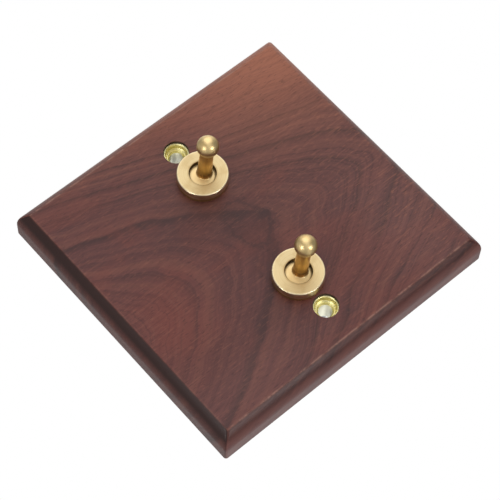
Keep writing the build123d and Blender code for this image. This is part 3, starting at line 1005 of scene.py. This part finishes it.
@dataclass
class WallPlate:
    """The solid walnut board with a moulded edge, two nut holes, two fixing holes and two rear pockets.

    All sizes are in mm. The corner, the crease and the arris are the roundings of the mitred corners, of
    the moulding's crease and of the edge round the back.
    """

    width: float = 86.0
    height: float = 90.0
    thickness: float = 10.0
    edge_radius: float = 6.2
    edge_depth: float = 5.3
    moulding_steps: int = 14
    corner: float = 0.8
    crease: float = 0.18
    arris: float = 0.4
    bushing_hole: float = 6.15
    pocket_width: float = 13.2
    pocket_length: float = 27.6
    pocket_corner: float = 0.8
    pocket_depth: float = 5.0
    head_hole: float = 3.45
    head_depth: float = 4.1
    shank_hole: float = 2.65
    rim_round: float = 0.12
    round_steps: int = 72

    def board(self, piece: Workpiece) -> None:
        """Make the board with its moulded edge, as an open shell without its front and back faces."""
        mesh = piece.mesh
        shoulder = self.thickness - self.edge_depth
        size = Matrix.Diagonal((self.width * MM, shoulder * MM, self.height * MM, 1))
        bmesh.ops.create_cube(mesh, size=1, matrix=Matrix.Translation((0, -shoulder * MM / 2, 0)) @ size)
        front = min(mesh.faces, key=lambda face: face.calc_center_median().y)
        sweep = math.asin(self.edge_depth / self.edge_radius)
        for step in range(self.moulding_steps):
            low = sweep * step / self.moulding_steps
            high = sweep * (step + 1) / self.moulding_steps
            bmesh.ops.inset_region(
                mesh, faces=[front], use_even_offset=True, use_boundary=True,
                thickness=self.edge_radius * MM * (math.cos(low) - math.cos(high)),
                depth=self.edge_radius * MM * (math.sin(high) - math.sin(low)),
            )
        piece.bevel([edge for edge in mesh.edges if self.on_mitre(edge)], self.corner, 4)
        piece.bevel(self.rim(mesh, self.thickness), self.crease, 3)
        piece.bevel(self.rim(mesh, 0.0), self.arris, 1)
        flats = [face for face in mesh.faces if len(face.verts) > 4 and abs(face.normal.y) > 0.99]
        bmesh.ops.delete(mesh, geom=flats, context="FACES_ONLY")

    def on_mitre(self, edge: bmesh.types.BMEdge) -> bool:
        """Say whether an edge of the square-cut board runs down one of its mitres."""
        start, end = (vert.co for vert in edge.verts)
        longer = (self.height - self.width) / 2 * MM
        on_mitre = all(abs(abs(place.z) - abs(place.x) - longer) < SAME_PLACE for place in (start, end))
        return on_mitre and abs(start.y - end.y) > 0.01 * MM

    def rim(self, mesh: bmesh.types.BMesh, height: float) -> list:
        """Find the edges that lie flat at a height, in mm."""
        return [edge for edge in mesh.edges
                if all(abs(vert.co.y + height * MM) < SAME_PLACE for vert in edge.verts)]

    def pocket(self, piece: Workpiece, across: float) -> tuple[list, list]:
        """Add the wall of one rear pocket.

        Args:
            piece: The board.
            across: The pocket's centre along X, in mm.

        Returns:
            The edges round its floor and the edges round its mouth.
        """
        size = Matrix.Diagonal((self.pocket_width / 2, self.pocket_length / 2, 1, 1))
        place = Matrix.Translation((across * MM, 0, 0)) @ Matrix.Rotation(math.pi / 2, 4, "X")
        made = bmesh.ops.create_grid(piece.mesh, x_segments=1, y_segments=1, size=MM, matrix=place @ size)
        rounded = piece.bevel(made["verts"], self.pocket_corner, 6, "VERTICES")
        sheet = next(face for vert in rounded["verts"] for face in vert.link_faces)
        mouth = list(sheet.edges)
        bmesh.ops.delete(piece.mesh, geom=[sheet], context="FACES_ONLY")
        return piece.sink(mouth, across, -self.pocket_depth), mouth

    def build(self, material: bpy.types.Material) -> bpy.types.Object:
        """Build the whole plate.

        Args:
            material: The wood.

        Returns:
            The finished plate.
        """
        piece = Workpiece("plate_board")
        self.board(piece)
        rims = [edge for edge in piece.mesh.edges if edge.is_boundary]
        front = [edge for edge in rims if edge.verts[0].co.y < -self.thickness * MM / 2]
        back = [edge for edge in rims if edge.verts[0].co.y > -self.thickness * MM / 2]
        step = self.thickness - self.head_depth
        lead = [(self.bushing_hole, self.thickness), (self.bushing_hole, self.pocket_depth)]
        bore = [
            (self.head_hole + self.rim_round, self.thickness),
            (self.head_hole + self.rim_round / 3, self.thickness - self.rim_round / 3),
            (self.head_hole, self.thickness - self.rim_round),
            (self.head_hole, step), (self.shank_hole, step), (self.shank_hole, 0.0),
        ]
        for hand in SIDES.values():
            mouth, floor = piece.hole(hand * TOGGLE_X, lead, self.round_steps)
            front += mouth
            inner, outer = self.pocket(piece, hand * TOGGLE_X)
            piece.fill(floor + inner)
            back += outer
            mouth, floor = piece.hole(hand * FIXING_X, bore, self.round_steps)
            front += mouth
            back += floor
        piece.fill(front)
        piece.fill(back)
        piece.weld()
        board = piece.finish(material, Shading.BOARD)
        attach(board, "plate")
        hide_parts("wall_plate")
        return board


@dataclass
class TurnedPart(ABC):
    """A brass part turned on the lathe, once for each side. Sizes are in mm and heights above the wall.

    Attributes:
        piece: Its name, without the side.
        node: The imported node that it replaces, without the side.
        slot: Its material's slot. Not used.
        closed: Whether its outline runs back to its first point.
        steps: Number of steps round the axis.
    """

    piece: str = "part"
    node: str = "part"
    slot: str = "satin_brass"
    closed: bool = True
    steps: int = 96

    @abstractmethod
    def outline(self) -> Profile:
        """The part's half outline."""

    @abstractmethod
    def roundings(self) -> tuple:
        """Each rounded ring's radius and height, and its rounding's size and number of steps."""

    @abstractmethod
    def set_up(self, piece: Workpiece, hand: int) -> None:
        """Bring the turned piece to its place, with a hand of -1 on the left and 1 on the right."""

    def body(self, side: str) -> str:
        """The body that the part of a side rides on."""
        return "plate"

    def build(self, side: str, hand: int, material: bpy.types.Material) -> bpy.types.Object:
        """Build the part of one side.

        Args:
            side: left or right.
            hand: -1 on the left, 1 on the right.
            material: The part's brass.

        Returns:
            The finished part.
        """
        piece = Workpiece(f"{self.piece}_{side}")
        piece.turn(self.outline(), self.steps, self.closed)
        for ring in self.roundings():
            piece.soften(*ring)
        self.set_up(piece, hand)
        made = piece.finish(material, Shading.TURNED)
        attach(made, self.body(side))
        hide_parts(f"{self.node}_{side}")
        return made


@dataclass
class Ferrule(TurnedPart):
    """The stepped brass sleeve that lines a fixing hole, with a turned step in the cone of its seat."""

    piece: str = "sleeve"
    node: str = "ferrule"
    slot: str = "ferrule_brass"
    rim: float = 9.1
    head_radius: float = 3.4
    head_length: float = 3.2
    shank_radius: float = 2.6
    bore: float = 1.9
    seat_radius: float = 2.95
    seat_depth: float = 1.7
    seat_round: float = 0.1
    flare: float = 0.9
    step: float = 0.09
    chamfer: float = 0.2
    rim_round: float = 0.05

    def outline(self) -> Profile:
        """The sleeve's half outline, from its back end over its rim into its bore."""
        shoulder = self.rim - self.head_length
        seat = self.rim - self.seat_depth
        middle = (self.seat_radius + self.bore) / 2
        ledge = seat - self.flare / 2 + self.step
        return Profile(self.bore, 0.0).to(
            (self.shank_radius, 0.0), (self.shank_radius, shoulder), (self.head_radius, shoulder),
            (self.head_radius, self.rim), (self.seat_radius + self.chamfer, self.rim),
            (self.seat_radius, self.rim - self.chamfer), (self.seat_radius, seat),
            (middle + self.step, ledge), (middle - self.step, ledge), (self.bore, seat - self.flare),
        )

    def roundings(self) -> tuple:
        """The seat's foot and the outer rim."""
        return (
            (self.seat_radius, self.rim - self.seat_depth, self.seat_round, 3),
            (self.head_radius, self.rim, self.rim_round, 2),
        )

    def set_up(self, piece: Workpiece, hand: int) -> None:
        """Mark the bore's faces for the second material and move the sleeve into its hole."""
        for face in piece.mesh.faces:
            if math.hypot(*face.calc_center_median().xz) < (self.bore + 0.02) * MM:
                face.material_index = 1
        piece.move(hand * FIXING_X)


@dataclass
class DressNut(TurnedPart):
    """The round brass nut, faced on a lathe so that fine rings show on its top."""

    piece: str = "collar"
    node: str = "dress_nut"
    steps: int = 128
    radius: float = 7.0
    foot: float = 10.0
    top: float = 13.3
    edge_round: float = 0.35
    foot_round: float = 0.08
    opening: float = 3.7
    thread_radius: float = 6.0
    lip: float = 0.7
    mouth: float = 0.15
    groove_pitch: float = 0.42
    groove_depth: float = 0.02

    def outline(self) -> Profile:
        """The nut's half outline, from its foot over the turned rings to the lip."""
        outline = Profile(self.thread_radius, self.foot).to((self.radius, self.foot), (self.radius, self.top))
        start = self.radius - self.edge_round
        grooves = int((start - self.opening - self.mouth) / self.groove_pitch)
        for groove in range(1, grooves):
            middle = start - groove * self.groove_pitch
            outline.to((middle + self.groove_pitch / 4, self.top), (middle, self.top - self.groove_depth))
        under = self.top - self.lip
        return outline.to((self.opening, self.top), (self.opening, under), (self.thread_radius, under))

    def roundings(self) -> tuple:
        """The top edge, the opening's edge and the foot."""
        return (
            (self.radius, self.top, self.edge_round, 5),
            (self.opening, self.top, self.mouth, 3),
            (self.radius, self.foot, self.foot_round, 2),
        )

    def set_up(self, piece: Workpiece, hand: int) -> None:
        """Move the nut onto its bushing."""
        piece.move(hand * TOGGLE_X)


@dataclass
class ToggleLever(TurnedPart):
    """The turned lever: ball, tapered stem, dome, fulcrum ball and hollow tail.

    Its reaches and lengths are measured from the pivot, and its tilt is in degrees.
    """

    piece: str = "toggle"
    node: str = "lever"
    closed: bool = False
    pivot_height: float = 6.0
    tilt: float = 5.0
    reach: float = 19.0
    ball: float = 3.0
    stem_tip: float = 1.8
    stem_root: float = 2.05
    root_round: float = 0.35
    dome: float = 14.0
    dome_rim: float = 4.6
    dome_reach: float = 5.95
    dome_edge: float = 0.7
    neck: float = 2.6
    fulcrum: float = 3.3
    tail: float = 2.2
    tail_length: float = 7.5
    tail_bore: float = 1.3
    bore_depth: float = 5.0

    def dome_centre(self) -> float:
        """Distance from the pivot to the centre of the dome's curve."""
        return self.dome_reach - math.sin(math.acos(self.dome_rim / self.dome)) * self.dome

    def outline(self) -> Profile:
        """The lever's half outline, from its tail's bore to the top of its ball."""
        dome_floor = self.dome_reach - self.dome_edge
        bore_end = self.bore_depth - self.tail_length
        tail = math.acos(self.tail / self.fulcrum)
        neck = math.acos(self.neck / self.fulcrum)
        rim = math.acos(self.dome_rim / self.dome)
        root = math.acos(self.stem_root / self.dome)
        tip = math.acos(self.stem_tip / self.ball)
        outline = Profile(0.0, bore_end).to(
            (self.tail_bore, bore_end), (self.tail_bore, -self.tail_length), (self.tail, -self.tail_length),
        )
        outline.ball(0.0, self.fulcrum, -tail, neck, 16)
        outline.to((self.neck, dome_floor), (self.dome_rim, dome_floor))
        outline.ball(self.dome_centre(), self.dome, rim, root, 10)
        return outline.ball(self.reach, self.ball, -tip, math.pi / 2, 36)

    def roundings(self) -> tuple:
        """The stem's root on the dome."""
        rise = math.sin(math.acos(self.stem_root / self.dome)) * self.dome
        return ((self.stem_root, self.dome_centre() + rise, self.root_round, 4),)

    def set_up(self, piece: Workpiece, hand: int) -> None:
        """Lean the lever up and move it onto its pivot."""
        piece.lean(self.tilt)
        piece.move(hand * TOGGLE_X, self.pivot_height)

    def body(self, side: str) -> str:
        """The body of the side's own lever."""
        return f"lever_{side}"


@dataclass
class SwitchBody:
    """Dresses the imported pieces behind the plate: bushing, cover, case, contacts and terminals.

    Attributes:
        edge: Rounding of the pieces' edges, in mm.
        plain: Pieces whose edges stay as they are.
        finishes: The material of each piece, by its node's name without the side.
    """

    edge: float = 0.06
    plain: tuple = ("spring", "plunger")
    finishes: dict = field(default_factory=dict)

    def dress(self, side: str) -> None:
        """Give each piece of one switch body its material and softened edges.

        Args:
            side: left or right.
        """
        for node, material in self.finishes.items():
            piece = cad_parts[f"{node}_{side}"]
            piece.data.materials.clear()
            piece.data.materials.append(material)
            weld = piece.modifiers.new("weld", "WELD")
            weld.merge_threshold = SAME_PLACE
            if node in self.plain:
                continue
            edges = piece.modifiers.new("edges", "BEVEL")
            edges.width = self.edge * MM
            edges.segments = 2
            edges.limit_method = "ANGLE"
            edges.angle_limit = math.radians(40)
            edges.harden_normals = True


@dataclass(frozen=True)
class Lamp:
    """A square soft box that points at the camera's aim.

    Attributes:
        name: Its name.
        towards: Its direction from the aim, to the picture's right, down and near.
        distance: Its distance from the aim, in mm.
        size: Its width, in mm.
        power: Its power, in watts.
    """

    name: str
    towards: tuple
    distance: float
    size: float
    power: float


@dataclass
class Studio:
    """The camera, the lamps, the pale floor and the white surroundings.

    Attributes:
        camera_place: The camera's place, in mm.
        aim: The point it looks at, in mm.
        turn: How far the picture is turned from upright, in degrees.
        lens: The lens, in mm.
        floor_drop: Height of the floor below the plate's middle, in mm.
        floor_size: Half width of the floor, in mm.
        floor_glow: How much paler the floor looks to the camera than the soft light leaves it.
        floor_shine: How much paler it looks in reflections.
        soft_light: How strongly the surroundings light the object.
        dimmed: How far to the left and right the room starts to dim and is dimmest, as cosines. Only
            reflections show it.
        room_level: How bright it is there, beside the white backdrop.
        lamps: The soft boxes.
    """

    camera_place: tuple = (175.11, -449.32, -168.55)
    aim: tuple = (5.21, -10.0, -4.41)
    turn: float = 49.04
    lens: float = 136.98
    floor_drop: float = 600.0
    floor_size: float = 1500.0
    floor_glow: float = 0.52
    floor_shine: float = 0.065
    soft_light: float = 0.42
    dimmed: Span = (0.25, 0.85)
    room_level: float = 0.3
    lamps: tuple = (
        Lamp("overhead", (0.0, -0.93, 0.37), 900.0, 1100.0, 2.95),
        Lamp("left_box", (-0.6, 0.3, 0.74), 300.0, 64.0, 0.2),
        Lamp("right_box", (0.72, 0.27, 0.64), 620.0, 140.0, 1.0),
    )

    def axes(self) -> Matrix:
        """Right, up and backward directions of the camera, as the columns of a turn."""
        back = (Vector(self.camera_place) - Vector(self.aim)).normalized()
        lean = math.radians(self.turn)
        right = Vector((-math.sin(lean), 0.0, math.cos(lean))).cross(back).normalized()
        return Matrix((right, back.cross(right), back)).transposed()

    def set_camera(self) -> None:
        """Place the camera at the photograph's viewing angle."""
        data = bpy.data.cameras.new("camera")
        data.lens = self.lens
        data.sensor_width = 36.0
        data.clip_start = 0.01
        camera = place_in_scene("camera", data)
        camera.matrix_world = Matrix.Translation(Vector(self.camera_place) * MM) @ self.axes().to_4x4()
        bpy.context.scene.camera = camera

    def set_lamps(self) -> None:
        """Place the soft boxes round the object."""
        for box in self.lamps:
            data = bpy.data.lights.new(box.name, "AREA")
            data.shape = "SQUARE"
            data.size = box.size * MM
            data.energy = box.power
            right, down, near = box.towards
            away = (self.axes() @ Vector((right, -down, near))).normalized()
            facing = away.to_track_quat("Z", "Y").to_matrix().to_4x4()
            place = Matrix.Translation((Vector(self.aim) + away * box.distance) * MM)
            place_in_scene(box.name, data).matrix_world = place @ facing

    def set_world(self) -> None:
        """Surround the object with white that dims to both sides in reflections, and light it softly."""
        world = bpy.data.worlds.new("surroundings")
        world.use_nodes = True
        sky = Nodes(world.node_tree)
        sideways = sky.dot(sky.add("TexCoord").outputs["Generated"], self.axes().col[0])
        sideways = sky.between(sky.maths("ABSOLUTE", sideways), *self.dimmed)
        room = sky.line(sideways, self.room_level - 1.0, 1.0)
        seen, reflected = sky.rays()
        strength = sky.slide(seen, sky.slide(reflected, self.soft_light, room), 1.0)
        background = world.node_tree.nodes["Background"].inputs
        sky.feed(background["Color"], WHITE)
        sky.feed(background["Strength"], strength)
        bpy.context.scene.world = world

    def set_floor(self) -> None:
        """Lay a plain pale floor well below the plate."""
        mesh = bmesh.new()
        bmesh.ops.create_grid(mesh, x_segments=1, y_segments=1, size=self.floor_size * MM)
        bmesh.ops.translate(mesh, verts=mesh.verts, vec=(0, 0, -self.floor_drop * MM))
        data = bpy.data.meshes.new("floor")
        mesh.to_mesh(data)
        mesh.free()
        paint = Palette("pale_floor")
        speck = paint.noise(Noise((0.02, 0.02, 0.02), 2.0))
        paint.feed(paint.shader["Base Color"], paint.mix(speck, srgb(236, 236, 234), srgb(244, 244, 242)))
        paint.shader["Roughness"].default_value = 0.7
        seen, reflected = paint.rays()
        glow = paint.line(seen, self.floor_glow, paint.times(reflected, self.floor_shine))
        paint.feed(paint.shader["Emission Strength"], glow)
        paint.feed(paint.shader["Emission Color"], WHITE)
        data.materials.append(paint.material)
        floor = place_in_scene("floor", data)


def main() -> None:
    """Build the pieces in order, light them and report each one."""
    logging.basicConfig(level=logging.INFO, format="%(message)s")
    bpy.context.scene.view_settings.view_transform = "Standard"
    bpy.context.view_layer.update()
    satin = COLLAR_BRASS.material()
    lever_brass = LEVER_BRASS.material()
    sleeve_brass = SLEEVE_BRASS.material()
    painted_bore_reflection = BORE_PAINTED_REFLECTION.material()
    contact_brass = CONTACT_BRASS.material()
    steel = ZINC_STEEL.material()
    bright = BRIGHT_STEEL.material()
    WallPlate().build(Walnut().material())
    LOG.info("wall plate: board with moulded edge, pockets and holes")
    body = SwitchBody(finishes={
        "bushing": satin, "pivot_pin": bright, "plunger": NYLON.material(), "spring": bright,
        "cover": steel, "case": PHENOLIC.material(), "rocker": contact_brass,
        "common_terminal": contact_brass, "upper_terminal": contact_brass,
        "lower_terminal": contact_brass, "terminal_screws": steel,
    })
    for side, hand in SIDES.items():
        sleeve = Ferrule().build(side, hand, sleeve_brass)
        sleeve.data.materials.append(painted_bore_reflection)
        DressNut().build(side, hand, satin)
        ToggleLever().build(side, hand, lever_brass)
        body.dress(side)
        LOG.info("%s switch: sleeve, collar, toggle and body", side)
    studio = Studio()
    studio.set_camera()
    studio.set_lamps()
    studio.set_world()
    studio.set_floor()
    LOG.info("camera, lamps, surroundings and floor")


if __name__ == "__main__":
    main()
